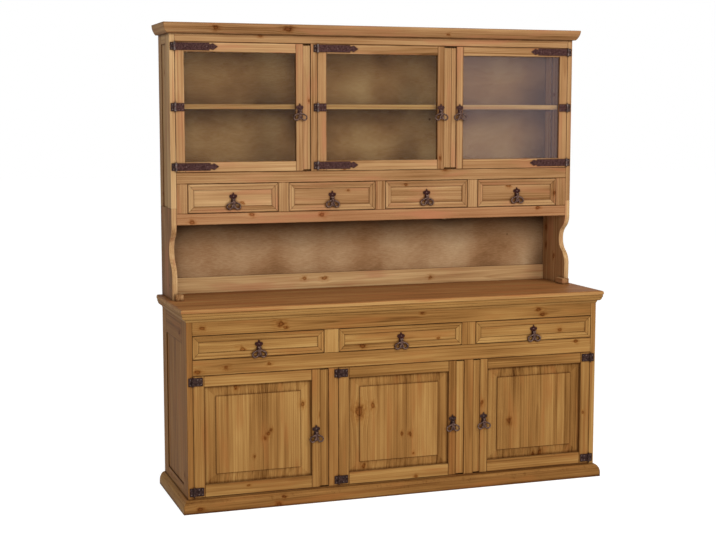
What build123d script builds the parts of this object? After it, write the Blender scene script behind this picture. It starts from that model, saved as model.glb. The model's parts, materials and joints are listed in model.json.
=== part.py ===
from build123d import *
from math import acos, atan2, degrees
import os

# Rustic pine cabinet of two parts: a sideboard base and a glazed hutch that stands on it.
# Millimetres. X to the right, -Y to the front, +Z up. The origin is on the floor, in the
# middle of the whole cabinet's width and depth.

# Overall sizes. The hutch's sides stand in line with the base's.
cabinet_height = 2000.0
body_width = 1856.0
base_depth = 496.0
table_height = 843.0
hutch_depth = 230.0

# Boards
frame_t = 22.0
base_side_t = 24.0
hutch_side_t = 22.0
door_t = 20.0
shelf_t = 18.0
glass_shelf_t = 20.0
partition_t = 20.0
back_t = 6.0

# Plinth
plinth_h = 55.0
plinth_out = 24.0
plinth_flat = 16.0

# Tabletop and the moulding under its edge
table_board = 16.0
table_out = 25.0
table_round = 8.0
table_moulding_h = 40.0
table_moulding_out = 22.0
table_bead_h = 12.0
table_ovolo_h = 16.0
table_ovolo_w = 12.0
table_step = 2.5

# Cornice
cornice_h = 43.0
cornice_out = 28.0
cornice_fascia = 6.0
cornice_foot = 12.0
cornice_swell = 3.5
top_board = 18.0

# Base front: rails and the openings between them. The middle drawer and door take the rest.
base_bottom_rail = 60.0
base_middle_rail = 65.0
base_drawer_h = 100.0
base_top_rail = 95.0
base_outer_drawer = 560.0
base_divider = 64.0
base_left_door = 578.0
base_right_door = 568.0
base_post = 44.0

# Hutch front, from the tabletop up. The four drawers share the width between the end pieces,
# and the middle door takes what the outer doors leave.
niche_h = 317.0
hutch_bottom_rail = 48.0
hutch_drawer_h = 125.5
hutch_middle_rail = 46.5
hutch_top_rail = 60.0
hutch_drawers = 4
hutch_end = 48.5
hutch_divider = 47.0
hutch_left_door = 589.0
hutch_right_door = 570.5
hutch_post = 30.0
glass_shelf_up = 285.0
glass_shelf_clear = 5.0
niche_rail_h = 70.0
niche_rail_t = 8.0

# Sides: frame and panel
base_side_front_stile = 90.0
base_side_rear_stile = 84.0
base_side_top_rail = 137.0
base_side_bottom_rail = 98.0
hutch_side_front_stile = 75.0
hutch_side_rear_stile = 61.0
hutch_side_top_rail = 67.0
hutch_side_board_up = 70.0
side_panel_t = 10.0
side_panel_inset = 4.0
groove = 8.0
groove_clear = 0.2

# Scrolled lower board of the hutch side, measured up from the tabletop, and its foot block
scroll_waist_up = 209.0
scroll_waist_in = 59.0
scroll_belly_up = 95.0
scroll_foot_in = 5.0
foot_h = 27.0
foot_w = 34.0
foot_out = 22.0
foot_inset = 9.0
foot_back = 45.0
foot_clear = 0.2

# Doors
door_gap = 1.2
strip_gap = 1.0
base_hinge_stile = 46.0
base_free_stile = 36.0
base_door_top_rail = 46.0
base_door_bottom_rail = 52.0
glass_hinge_stile = 39.0
glass_free_stile = 32.0
glass_door_top_rail = 40.0
glass_door_bottom_rail = 43.0
strip_t = 12.0
base_strip_back = 3.0
base_strip_short = 4.0
glass_strip_back = 6.0
glass_strip_short = 7.0
base_left_strip = 36.0
base_middle_strip = 35.0
base_right_strip = 30.0
glass_left_strip = 33.0
glass_middle_strip = 34.5
glass_right_strip = 22.5

# Raised panels and panes
panel_edge_t = 6.0
panel_edge_back = 11.0
panel_field_back = 2.5
panel_step = 4.0
panel_bevel_w = 48.0
panel_bevel_h = 41.0
glass_t = 3.0
glass_back = 9.0
rebate = 8.0
rebate_clear = 1.0

# Drawers
drawer_gap = 2.0
drawer_side_gap = 1.2
drawer_front_t = 14.0
drawer_moulding_t = 6.0
drawer_moulding_w = 26.0
drawer_bead = 11.0
drawer_bead_step = 2.0
drawer_moulding_foot = 2.0
drawer_wall = 12.0
drawer_bottom_t = 5.0
drawer_bottom_up = 6.0
drawer_headroom = 8.0
drawer_slack = 3.0
drawer_rest = 0.3
drawer_groove = 5.0
base_drawer_behind = 40.0
hutch_drawer_behind = 24.0
runner_w = 24.0
runner_h = 20.0
guide_gap = 1.0
guide_h = 30.0

# Inside the base
base_shelf_top = 318.0
base_shelf_setback = 60.0

# Hinges
leaf_t = 2.0
barrel_r = 4.5
barrel_stand = 0.1
pin_r = 1.8
pin_clear = 0.05
knuckle_gap = 0.3
finial_h = 5.0
finial_r = 3.4
finial_tip_r = 0.6
frame_leaf = 18.0
base_hinge_leaf = 41.0
base_hinge_h = 34.0
base_hinge_in = 23.5
mid_hinge_leaf = 39.0
mid_hinge_h = 33.0
mid_hinge_up = 271.0
strap_length = 183.0
strap_h = 31.0
strap_neck_h = 19.0
strap_neck = 6.0
strap_head = 30.0
strap_shoulder = 10.0
strap_head_h = 27.0
strap_in_top = 18.0
strap_in_bottom = 23.0
nail_r = 2.6
nail_h = 1.2
nail_in = 7.0
strap_nail_gap = 45.0

# Pulls, measured from the pin that the drop hangs on
plate_t = 2.5
plate_tip = 30.0
plate_foot = 12.0
plate_lobe_x = 9.5
plate_lobe_z = 13.0
plate_lobe_r = 7.0
plate_neck_w = 14.0
plate_body_w = 20.0
ear_r = 4.2
ear_w = 3.0
ear_gap = 0.2
drop_clear = 0.4
drop_barrel_r = 3.4
drop_barrel_w = 7.4
drop_pin_r = 1.5
drop_pin_clear = 0.05
tongue_t = 4.0
tongue_neck = 5.2
tongue_w = 14.0
tongue_widest = 13.0
tongue_tip_w = 6.0
tongue_tip = 37.0
arm_x = 3.0
arm_z = 11.0
ring_x = 17.5
ring_z = 29.5
ring_r = 11.2
ring_rod_r = 3.2
ring_curl = 275.0
base_drawer_pull_up = 40.5
hutch_drawer_pull_up = 57.0
base_door_pull_up = 238.0
glass_door_pull_up = 258.0

# Places that follow from the sizes above
back_y = (base_depth + table_out) / 2
base_front = back_y - base_depth
hutch_front = back_y - hutch_depth
half_width = body_width / 2
base_inner = half_width - base_side_t
hutch_inner = half_width - hutch_side_t
carcase_top = table_height - table_board
hutch_body_top = cabinet_height - top_board
inside_back = back_y - back_t
base_inside_front = base_front + frame_t
hutch_inside_front = hutch_front + frame_t

base_drawer_top = carcase_top - base_top_rail
base_drawer_bottom = base_drawer_top - base_drawer_h
base_door_top = base_drawer_bottom - base_middle_rail
base_divider_x = base_inner - base_outer_drawer - base_divider / 2

niche_top = table_height + niche_h
hutch_drawer_bottom = niche_top + hutch_bottom_rail
hutch_drawer_top = hutch_drawer_bottom + hutch_drawer_h
hutch_door_bottom = hutch_drawer_top + hutch_middle_rail
hutch_door_top = hutch_body_top - hutch_top_rail
hutch_meeting_x = hutch_inner - hutch_right_door
glass_shelf_top = hutch_door_bottom + glass_shelf_up
scroll_board_top = niche_top + hutch_side_board_up

drop_stand = drawer_moulding_t + ring_rod_r + drop_clear
frame_nail_x = frame_leaf - nail_in

os.makedirs("parts", exist_ok=True)


def board(x, y, z):
    """A board between two corners, given as pairs along X, Y and Z."""
    size = [abs(pair[1] - pair[0]) for pair in (x, y, z)]
    middle = [(pair[0] + pair[1]) / 2 for pair in (x, y, z)]
    return Pos(*middle) * Box(*size)


def around(middle, width):
    return (middle - width / 2, middle + width / 2)


def write(node, pieces):
    """One STEP file for the node, with each of its pieces as a solid of its own."""
    solids = [solid for piece in pieces for solid in piece.solids()]
    export_step(Compound(children=solids), f"parts/{node}.step")


def front_plane(x, y, z):
    """A sketch plane that faces the front: sketch X is X, sketch Y is Z."""
    return Plane((x, y, z), x_dir=(1, 0, 0), z_dir=(0, -1, 0))


def outline(points):
    return make_face(Polyline(*points, close=True))


def ovolo(centre, width, height, rising):
    """A quarter-round that starts at the right of its centre."""
    turn = 90 if rising else -90
    return EllipticalCenterArc(centre, width, height, start_angle=0, arc_size=turn)


# --- Mouldings around the cabinet ------------------------------------------------


def moulding(profile, half, front):
    """A profile along the front and both sides, mitred at the two front corners.

    Profile X runs outwards from the body, and profile Y is the height above the floor.
    """
    reach = half + 2 * profile.bounding_box().max.X
    depth = back_y - front
    across_front = Plane((0, front, 0), x_dir=(0, -1, 0), z_dir=(-1, 0, 0))
    front_run = extrude(across_front * profile, amount=reach, both=True)
    pieces = []
    for side in (-1, 1):
        mitre = Plane((side * half, front, 0), z_dir=(-side, -1, 0))
        front_run = split(front_run, bisect_by=mitre, keep=Keep.TOP)
        across_side = Plane((side * half, back_y, 0), x_dir=(side, 0, 0), z_dir=(0, -side, 0))
        side_run = extrude(across_side * profile, amount=side * 2 * depth)
        pieces.append(split(side_run, bisect_by=mitre, keep=Keep.BOTTOM))
    return [front_run, *pieces]


def mitred_frame(profile, x, z, y):
    """A profile around a rectangle, in four mitred lengths.

    Profile X runs inwards from the rectangle's edge, and profile Y forwards from y.
    """
    half = ((x[1] - x[0]) / 2, (z[1] - z[0]) / 2)
    middle = ((x[0] + x[1]) / 2, y, (z[0] + z[1]) / 2)
    pieces = []
    for turn in range(4):
        reach, side = half if turn % 2 == 0 else half[::-1]
        across = Plane((0, 0, -side), x_dir=(0, 0, 1), z_dir=(1, 0, 0))
        run = extrude(across * profile, amount=reach, both=True)
        for end in (-1, 1):
            mitre = Plane((end * reach, 0, -side), z_dir=(-end, 0, -1))
            run = split(run, bisect_by=mitre, keep=Keep.TOP)
        pieces.append(Pos(*middle) * Rot(0, 90 * turn, 0) * run)
    return pieces


plinth_profile = make_face(
    Line((0, 0), (plinth_out, 0))
    + Line((plinth_out, 0), (plinth_out, plinth_flat))
    + ovolo((0, plinth_flat), plinth_out, plinth_h - plinth_flat, rising=True)
    + Line((0, plinth_h), (0, 0))
)
write("plinth", moulding(plinth_profile, half_width, base_front))

bead_x = table_moulding_out
bead_z = carcase_top - table_bead_h
ovolo_x = bead_x - table_step
foot_x = ovolo_x - table_ovolo_w
ovolo_z = bead_z - table_ovolo_h
table_profile = make_face(
    Polyline((0, carcase_top), (bead_x, carcase_top), (bead_x, bead_z), (ovolo_x, bead_z))
    + ovolo((foot_x, bead_z), table_ovolo_w, table_ovolo_h, rising=False)
    + Polyline(
        (foot_x, ovolo_z),
        (foot_x - table_step, ovolo_z),
        (0, carcase_top - table_moulding_h),
        (0, carcase_top),
    )
)
table = board(
    (-half_width - table_out, half_width + table_out),
    (base_front - table_out, back_y),
    (carcase_top, table_height),
)
rounded = [edge for edge in table.edges().group_by(Axis.Z)[-1] if edge.center().Y < inside_back]
table = fillet(rounded, table_round)
write("tabletop", [table, *moulding(table_profile, half_width, base_front)])

fascia_z = cabinet_height - cornice_fascia
cornice_z = cabinet_height - cornice_h
swell = ((cornice_out + cornice_foot) / 2 + cornice_swell, (fascia_z + cornice_z) / 2)
cornice_profile = make_face(
    Polyline((0, cornice_z), (0, cabinet_height), (cornice_out, cabinet_height), (cornice_out, fascia_z))
    + ThreePointArc((cornice_out, fascia_z), swell, (cornice_foot, cornice_z))
    + Line((cornice_foot, cornice_z), (0, cornice_z))
)
write("cornice", moulding(cornice_profile, half_width, hutch_front))


# --- Sides -----------------------------------------------------------------------


def panelled_side(outer, thickness, y, z, panel_y, panel_z, foot=None):
    """Stiles, rails and panel in the right-hand side. A foot, if given, is the bottom board."""
    x = (outer - thickness, outer)
    panel_x = (outer - side_panel_inset - side_panel_t, outer - side_panel_inset)
    slot = board(
        (panel_x[0] - groove_clear, panel_x[1] + groove_clear),
        (panel_y[0] - groove, panel_y[1] + groove),
        (panel_z[0] - groove, panel_z[1] + groove),
    )
    stile_bottom = panel_z[0] if foot else z[0]
    edge = groove - groove_clear
    return [
        board(x, (y[0], panel_y[0]), (stile_bottom, z[1])) - slot,
        board(x, (panel_y[1], y[1]), (stile_bottom, z[1])) - slot,
        board(x, panel_y, (panel_z[1], z[1])) - slot,
        (foot or board(x, panel_y, (z[0], panel_z[0]))) - slot,
        board(
            panel_x,
            (panel_y[0] - edge, panel_y[1] + edge),
            (panel_z[0] - edge, panel_z[1] + edge),
        ),
    ]


def write_pair(node, pieces):
    write(f"{node}_right", pieces)
    write(f"{node}_left", [mirror(piece, about=Plane.YZ) for piece in pieces])


base_side = panelled_side(
    half_width,
    base_side_t,
    (base_front, back_y),
    (0, carcase_top),
    (base_front + base_side_front_stile, back_y - base_side_rear_stile),
    (base_side_bottom_rail, carcase_top - base_side_top_rail),
)
write_pair("base_side", base_side)

# The hutch side's front edge: two S-curves between the drawers and the tabletop
scroll_top = (hutch_front, niche_top)
waist = (hutch_front + scroll_waist_in, table_height + scroll_waist_up)
belly = (hutch_front, table_height + scroll_belly_up)
scroll_foot = (hutch_front + scroll_foot_in, table_height)


def halfway(first, second):
    return ((first[0] + second[0]) / 2, (first[1] + second[1]) / 2)


down = (0, -1)
upper_in = TangentArc(scroll_top, halfway(scroll_top, waist), tangent=down)
upper_out = TangentArc(waist, halfway(scroll_top, waist), tangent=(0, 1))
lower_in = TangentArc(waist, halfway(waist, belly), tangent=down)
lower_out = TangentArc(belly, halfway(waist, belly), tangent=(0, 1))
to_foot = TangentArc(belly, scroll_foot, tangent=down)
scroll_edge = make_face(
    Polyline(
        scroll_foot,
        (back_y, table_height),
        (back_y, scroll_board_top),
        (hutch_front, scroll_board_top),
        scroll_top,
    )
    + upper_in
    + upper_out
    + lower_in
    + lower_out
    + to_foot
)
side_plane = Plane((hutch_inner, 0, 0), x_dir=(0, 1, 0), z_dir=(1, 0, 0))
scroll_board = extrude(side_plane * scroll_edge, amount=hutch_side_t)
foot_block = board(
    (half_width - foot_inset - foot_w, half_width - foot_inset),
    (hutch_front - foot_out, hutch_front + foot_back),
    (table_height, table_height + foot_h),
)
foot_block -= Pos(0, -foot_clear, 0) * scroll_board
hutch_side = panelled_side(
    half_width,
    hutch_side_t,
    (hutch_front, back_y),
    (table_height, hutch_body_top),
    (hutch_front + hutch_side_front_stile, back_y - hutch_side_rear_stile),
    (scroll_board_top, hutch_body_top - hutch_side_top_rail),
    foot=scroll_board,
)
write_pair("hutch_side", [*hutch_side, foot_block])


# --- Face frames -----------------------------------------------------------------

base_face = (base_front, base_inside_front)
base_between = (-base_inner, base_inner)
base_rails = [
    (0, base_bottom_rail),
    (base_door_top, base_drawer_bottom),
    (base_drawer_top, carcase_top),
]
base_frame = [board(base_between, base_face, rail) for rail in base_rails]
for x in (-base_divider_x, base_divider_x):
    base_frame.append(board(around(x, base_divider), base_face, (base_drawer_bottom, base_drawer_top)))
base_posts = [
    (-base_inner + base_left_door, -base_inner + base_left_door + base_post),
    (base_inner - base_right_door - base_post, base_inner - base_right_door),
]
for post in base_posts:
    base_frame.append(board(post, base_face, (base_bottom_rail, base_door_top)))
write("base_front_frame", base_frame)

base_drawer_openings = {
    "left": (-base_inner, -base_divider_x - base_divider / 2),
    "middle": (-base_divider_x + base_divider / 2, base_divider_x - base_divider / 2),
    "right": (base_divider_x + base_divider / 2, base_inner),
}
base_door_openings = {
    "left": (-base_inner, base_posts[0][0]),
    "middle": (base_posts[0][1], base_posts[1][0]),
    "right": (base_posts[1][1], base_inner),
}

drawer_pitch = (2 * (hutch_inner - hutch_end) + hutch_divider) / hutch_drawers
hutch_drawer_openings = {}
for count in range(hutch_drawers):
    start = -hutch_inner + hutch_end + count * drawer_pitch
    hutch_drawer_openings[str(count + 1)] = (start, start + drawer_pitch - hutch_divider)
hutch_post_x = (-hutch_inner + hutch_left_door, -hutch_inner + hutch_left_door + hutch_post)
# The middle and right doors meet with one door gap between their strips
hutch_door_openings = {
    "left": (-hutch_inner, hutch_post_x[0]),
    "middle": (hutch_post_x[1], hutch_meeting_x - door_gap / 2 + strip_gap),
    "right": (hutch_meeting_x + door_gap / 2 - strip_gap, hutch_inner),
}

hutch_face = (hutch_front, hutch_inside_front)
hutch_between = (-hutch_inner, hutch_inner)
hutch_drawer_z = (hutch_drawer_bottom, hutch_drawer_top)
hutch_rails = [
    (niche_top, hutch_drawer_bottom),
    (hutch_drawer_top, hutch_door_bottom),
    (hutch_door_top, hutch_body_top),
]
hutch_frame = [board(hutch_between, hutch_face, rail) for rail in hutch_rails]
uprights = [edge for opening in hutch_drawer_openings.values() for edge in opening]
uprights = [-hutch_inner, *uprights, hutch_inner]
for start, end in zip(uprights[::2], uprights[1::2]):
    hutch_frame.append(board((start, end), hutch_face, hutch_drawer_z))
hutch_frame.append(board(hutch_post_x, hutch_face, (hutch_door_bottom, hutch_door_top)))
write("hutch_front_frame", hutch_frame)


# --- Backs and insides -----------------------------------------------------------


def drawer_guides(bay, opening, y, bottom):
    """What stands beside one drawer, where the face frame hides more than the bay's wall."""
    pieces = []
    for wall, edge, inward in ((bay[0], opening[0], 1), (bay[1], opening[1], -1)):
        if abs(edge - wall) > guide_gap:
            guide = edge + inward * (drawer_slack - guide_gap)
            pieces.append(board((wall, guide), y, (bottom, bottom + guide_h)))
    return pieces


back_board = (inside_back, back_y)
write("base_back", [board(base_between, back_board, (0, carcase_top))])

base_inside = (base_inside_front, inside_back)
partition_x = (-base_divider_x, base_divider_x)
bay_edges = [-base_inner, *[edge for x in partition_x for edge in around(x, partition_t)], base_inner]
base_bays = list(zip(bay_edges[::2], bay_edges[1::2]))
base_shelf_y = (base_inside_front + base_shelf_setback, inside_back)
interior = [board(base_between, base_inside, (base_bottom_rail - shelf_t, base_bottom_rail))]
for x in partition_x:
    interior.append(board(around(x, partition_t), base_inside, (base_bottom_rail, carcase_top)))
for bay, opening in zip(base_bays, base_drawer_openings.values()):
    interior.append(board(bay, base_shelf_y, (base_shelf_top - shelf_t, base_shelf_top)))
    runner_z = (base_drawer_bottom - runner_h, base_drawer_bottom)
    interior.append(board((bay[0], opening[0] + runner_w), base_inside, runner_z))
    interior.append(board((opening[1] - runner_w, bay[1]), base_inside, runner_z))
    interior.extend(drawer_guides(bay, opening, base_inside, base_drawer_bottom))
write("base_interior", interior)

hutch_inside = (hutch_inside_front, inside_back)
niche_rail = board(
    hutch_between, (inside_back - niche_rail_t, inside_back), (table_height, table_height + niche_rail_h)
)
hutch_ply = board(hutch_between, back_board, (table_height, hutch_body_top))
write("hutch_back", [hutch_ply, niche_rail])

shelves = [
    board((-half_width, half_width), (hutch_front, back_y), (hutch_body_top, cabinet_height)),
    board(
        hutch_between,
        (hutch_front + door_t + glass_shelf_clear, inside_back),
        (glass_shelf_top - glass_shelf_t, glass_shelf_top),
    ),
    board(hutch_between, hutch_inside, (hutch_door_bottom - shelf_t, hutch_door_bottom)),
    board(hutch_between, hutch_inside, (hutch_drawer_bottom - shelf_t, hutch_drawer_bottom)),
]
guide_in = drawer_slack - guide_gap
for start, end in zip(uprights[::2], uprights[1::2]):
    left = start - guide_in if start > -hutch_inner else start
    right = end + guide_in if end < hutch_inner else end
    guide_z = (hutch_drawer_bottom, hutch_drawer_bottom + guide_h)
    shelves.append(board((left, right), hutch_inside, guide_z))
write("hutch_shelves", shelves)


# --- Pulls -----------------------------------------------------------------------

plate_outline = (
    outline([(0, plate_tip), (-plate_lobe_x, plate_lobe_z), (plate_lobe_x, plate_lobe_z)])
    + Pos(-plate_lobe_x, plate_lobe_z) * Circle(plate_lobe_r)
    + Pos(plate_lobe_x, plate_lobe_z) * Circle(plate_lobe_r)
    + outline(
        [
            (-plate_neck_w / 2, plate_lobe_z),
            (-plate_body_w / 2, -plate_foot),
            (plate_body_w / 2, -plate_foot),
            (plate_neck_w / 2, plate_lobe_z),
        ]
    )
)
tongue_half = [
    (drop_barrel_w / 2, 0),
    (drop_barrel_w / 2, -tongue_neck),
    (tongue_w / 2, -tongue_widest),
    (tongue_tip_w / 2, -tongue_tip),
]
tongue_outline = outline([*tongue_half, *[(-x, z) for x, z in reversed(tongue_half)]])

# Each ring is a rod that leaves the tongue in a straight line and curls once round
ring_middle = Vector(ring_x, -ring_z)
arm_start = Vector(arm_x, -arm_z)
to_arm = arm_start - ring_middle
curl_start = degrees(atan2(to_arm.Y, to_arm.X) - acos(ring_r / to_arm.length))
curl = CenterArc(ring_middle, ring_r, start_angle=curl_start, arc_size=-ring_curl)
arm = Line(arm_start, curl @ 0)
rod_end = Plane(arm @ 0, z_dir=arm % 0)
flat_ring = sweep(rod_end * Circle(ring_rod_r), path=arm + curl)
flat_rings = [flat_ring, mirror(flat_ring, about=Plane.YZ)]


def nail(x, front, z):
    """A nail's head on a plate whose face is at front."""
    return extrude(front_plane(x, front, z) * Circle(nail_r), amount=nail_h)


def pull(x, front, z):
    """The plate with its ears and nail, and the drop, on wood whose face is at front."""
    axis_y = front - drop_stand
    pin_line = Plane((x, axis_y, z), x_dir=(0, -1, 0), z_dir=(1, 0, 0))
    ear_start = drop_barrel_w / 2 + ear_gap
    pin_end = ear_start + ear_w
    plate = extrude(front_plane(x, front, z) * plate_outline, amount=plate_t)
    for side in (-1, 1):
        ear_x = x + side * (ear_start + ear_w / 2)
        ear_line = Plane((ear_x, axis_y, z), x_dir=(0, -1, 0), z_dir=(1, 0, 0))
        plate += board(around(ear_x, ear_w), (axis_y, front), around(z, 2 * ear_r))
        plate += extrude(ear_line * Circle(ear_r), amount=ear_w / 2, both=True)
    plate -= extrude(pin_line * Circle(drop_pin_r + drop_pin_clear), amount=2 * pin_end, both=True)

    drop_plane = front_plane(x, axis_y, z)
    drop = extrude(drop_plane * tongue_outline, amount=tongue_t / 2, both=True)
    drop += extrude(pin_line * Circle(drop_barrel_r), amount=drop_barrel_w / 2, both=True)
    drop += extrude(pin_line * Circle(drop_pin_r), amount=pin_end, both=True)
    for ring in flat_rings:
        drop += drop_plane * ring
    return [plate, nail(x, front - plate_t, z + plate_lobe_z)], [drop]


# --- Drawers ---------------------------------------------------------------------

drawer_profile = outline(
    [
        (0, 0),
        (0, drawer_moulding_t),
        (drawer_bead, drawer_moulding_t),
        (drawer_bead, drawer_moulding_t - drawer_bead_step),
        (drawer_moulding_w, drawer_moulding_foot),
        (drawer_moulding_w, 0),
    ]
)


def drawer(name, x, z, front, behind, pull_up):
    """One drawer in the opening x by z of a face frame whose front is at front.

    behind is the room between the drawer and the cabinet's back.
    """
    face_x = (x[0] + drawer_side_gap, x[1] - drawer_side_gap)
    face_z = (z[0] + drawer_gap, z[1] - drawer_gap)
    board_y = (front + drawer_moulding_t, front + drawer_moulding_t + drawer_front_t)
    box_x = (x[0] + drawer_slack, x[1] - drawer_slack)
    box_z = (z[0] + drawer_rest, z[1] - drawer_headroom)
    box_y = (board_y[1], inside_back - behind)
    inner_x = (box_x[0] + drawer_wall, box_x[1] - drawer_wall)
    bottom_z = (box_z[0] + drawer_bottom_up, box_z[0] + drawer_bottom_up + drawer_bottom_t)
    bottom = board((inner_x[0] - drawer_groove, inner_x[1] + drawer_groove), box_y, bottom_z)
    pieces = [
        board(face_x, board_y, face_z),
        *mitred_frame(drawer_profile, face_x, face_z, board_y[0]),
        board((box_x[0], inner_x[0]), box_y, box_z) - bottom,
        board((inner_x[1], box_x[1]), box_y, box_z) - bottom,
        board(inner_x, (box_y[1] - drawer_wall, box_y[1]), (bottom_z[1], box_z[1])),
        bottom,
    ]
    write(name, pieces)
    middle = (x[0] + x[1]) / 2
    plate, drop = pull(middle, board_y[0], z[0] + pull_up)
    write(f"{name}_pull", plate)
    write(f"{name}_drop", drop)


for place, opening in base_drawer_openings.items():
    drawer(
        f"base_drawer_{place}",
        opening,
        (base_drawer_bottom, base_drawer_top),
        base_front,
        base_drawer_behind,
        base_drawer_pull_up,
    )
for place, opening in hutch_drawer_openings.items():
    drawer(
        f"hutch_drawer_{place}",
        opening,
        hutch_drawer_z,
        hutch_front,
        hutch_drawer_behind,
        hutch_drawer_pull_up,
    )


# --- Hinges ----------------------------------------------------------------------


def plain_leaf(length, height):
    return Pos(length / 2, 0) * Rectangle(length, height)


def strap_leaf(length, height):
    """A long strap, its neck, and a head that ends in a point."""
    body = length - strap_head - strap_neck
    neck = Pos(body + strap_neck / 2, 0) * Rectangle(strap_neck, strap_neck_h)
    head_start = length - strap_head
    head = outline(
        [
            (head_start, -strap_neck_h / 2),
            (head_start + strap_shoulder, -strap_head_h / 2),
            (length, 0),
            (head_start + strap_shoulder, strap_head_h / 2),
            (head_start, strap_neck_h / 2),
        ]
    )
    return plain_leaf(body, height) + neck + head


def two_rows(places, height):
    """Nails near both edges of a leaf of that height, at each place along it."""
    row = height / 2 - nail_in
    return [(along, up) for along in places for up in (-row, row)]


def hinge(x, front, z, side, height, leaf, nails):
    """The frame's half and the door's half of a hinge whose pin is at x.

    side is 1 if the door lies towards +X. leaf is the door leaf's outline, from the pin, and
    nails are the places of its nails, along the leaf and up.
    """
    axis_y = front - barrel_r - barrel_stand
    knuckle = height / 3

    def barrel(radius, low, high):
        return Pos(x, axis_y, z + (low + high) / 2) * Cylinder(radius, high - low)

    def cone(end):
        point = Pos(0, 0, finial_h / 2) * Cone(finial_r, finial_tip_r, finial_h)
        return Pos(x, axis_y, z + end * height / 2) * Rot(90 - 90 * end, 0, 0) * point

    split_at = knuckle / 2
    top = height / 2
    clear_r = barrel_r + knuckle_gap
    frame_side = board((x - side * frame_leaf, x), (front - leaf_t, front), (z - top, z + top))
    frame_side -= barrel(clear_r, -split_at, split_at)
    frame_side += barrel(barrel_r, split_at, top)
    frame_side += barrel(barrel_r, -top, -split_at)
    frame_side += barrel(pin_r, -top, top) + cone(1) + cone(-1)

    door_side = extrude(front_plane(x, front, z) * Rot(0, 90 - 90 * side, 0) * leaf, amount=side * leaf_t)
    door_side -= barrel(clear_r, split_at - knuckle_gap, top + knuckle_gap)
    door_side -= barrel(clear_r, -top - knuckle_gap, -split_at + knuckle_gap)
    door_side += barrel(barrel_r, -split_at + knuckle_gap, split_at - knuckle_gap)
    door_side -= barrel(pin_r + pin_clear, -height, height)

    face = front - leaf_t
    frame_nails = [nail(x - side * along, face, z + up) for along, up in two_rows([frame_nail_x], height)]
    door_nails = [nail(x + side * along, face, z + up) for along, up in nails]
    return [frame_side, *frame_nails], [door_side, *door_nails]


# --- Doors -----------------------------------------------------------------------


def framed(x, z, y, stiles, rails):
    """Left and right stile, bottom and top rail, and the opening they leave."""
    inner_x = (x[0] + stiles[0], x[1] - stiles[1])
    inner_z = (z[0] + rails[0], z[1] - rails[1])
    pieces = [
        board((x[0], inner_x[0]), y, z),
        board((inner_x[1], x[1]), y, z),
        board(inner_x, y, (z[0], inner_z[0])),
        board(inner_x, y, (inner_z[1], z[1])),
    ]
    return pieces, inner_x, inner_z


def grown(span, amount):
    return (span[0] - amount, span[1] + amount)


def raised_panel(x, z, front):
    """A panel whose edge sits in a groove, with a bevel that rises to a stepped field."""
    foot_y = front + panel_edge_back
    edge_y = (foot_y, foot_y + panel_edge_t)
    edge = board(grown(x, groove - groove_clear), edge_y, grown(z, groove - groove_clear))
    size = (x[1] - x[0], z[1] - z[0])
    middle = ((x[0] + x[1]) / 2, (z[0] + z[1]) / 2)
    field = Rectangle(size[0] - 2 * panel_bevel_w, size[1] - 2 * panel_bevel_h)
    low = front_plane(middle[0], foot_y, middle[1])
    high = front_plane(middle[0], front + panel_field_back + panel_step, middle[1])
    slope = loft([low * Rectangle(size[0] - 2 * groove_clear, size[1] - 2 * groove_clear), high * field])
    return edge + slope + extrude(high * field, amount=panel_step)


def hang(opening, hinge_side, strip_w, hinge_w, free_w):
    """Where a door's leaf, its closing strip, its pin and its pull are across an opening."""
    if hinge_side < 0:
        strip = (opening[1] - strip_gap - strip_w, opening[1] - strip_gap)
        leaf = (opening[0] + door_gap, strip[0])
        return leaf, strip, (hinge_w, free_w), opening[0] + door_gap / 2, leaf[1] - free_w / 2
    strip = (opening[0] + strip_gap, opening[0] + strip_gap + strip_w)
    leaf = (strip[1], opening[1] - door_gap)
    return leaf, strip, (free_w, hinge_w), opening[1] - door_gap / 2, leaf[0] + free_w / 2


def write_iron(name, x, front, z, hinges):
    """A door's hinge halves and its pull. Gives back the frame's halves."""
    plate, drop = pull(x, front, z)
    frame_halves = [piece for pair in hinges for piece in pair[0]]
    door_halves = [piece for pair in hinges for piece in pair[1]]
    write(f"{name}_iron", [*door_halves, *plate])
    write(f"{name}_drop", drop)
    return frame_halves


def base_door(place, hinge_side, strip_w):
    name = f"base_door_{place}"
    z = (base_bottom_rail + door_gap, base_door_top - door_gap)
    leaf, strip, stiles, pin_x, pull_x = hang(
        base_door_openings[place], hinge_side, strip_w, base_hinge_stile, base_free_stile
    )
    y = (base_front, base_front + door_t)
    pieces, inner_x, inner_z = framed(leaf, z, y, stiles, (base_door_bottom_rail, base_door_top_rail))
    slot_y = grown((base_front + panel_edge_back, base_front + panel_edge_back + panel_edge_t), groove_clear)
    slot = board(grown(inner_x, groove), slot_y, grown(inner_z, groove))
    strip_y = (base_front + base_strip_back, base_front + base_strip_back + strip_t)
    closing = board(strip, strip_y, grown(z, -base_strip_short))
    write(name, [*[piece - slot for piece in pieces], closing])
    write(f"{name}_panel", [raised_panel(inner_x, inner_z, base_front)])
    leaf_outline = plain_leaf(base_hinge_leaf, base_hinge_h)
    nails = two_rows((base_hinge_leaf - nail_in, base_hinge_leaf / 2), base_hinge_h)
    hinges = [
        hinge(pin_x, base_front, height, -hinge_side, base_hinge_h, leaf_outline, nails)
        for height in grown(z, -base_hinge_in)
    ]
    return write_iron(name, pull_x, base_front, z[0] + base_door_pull_up, hinges)


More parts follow.
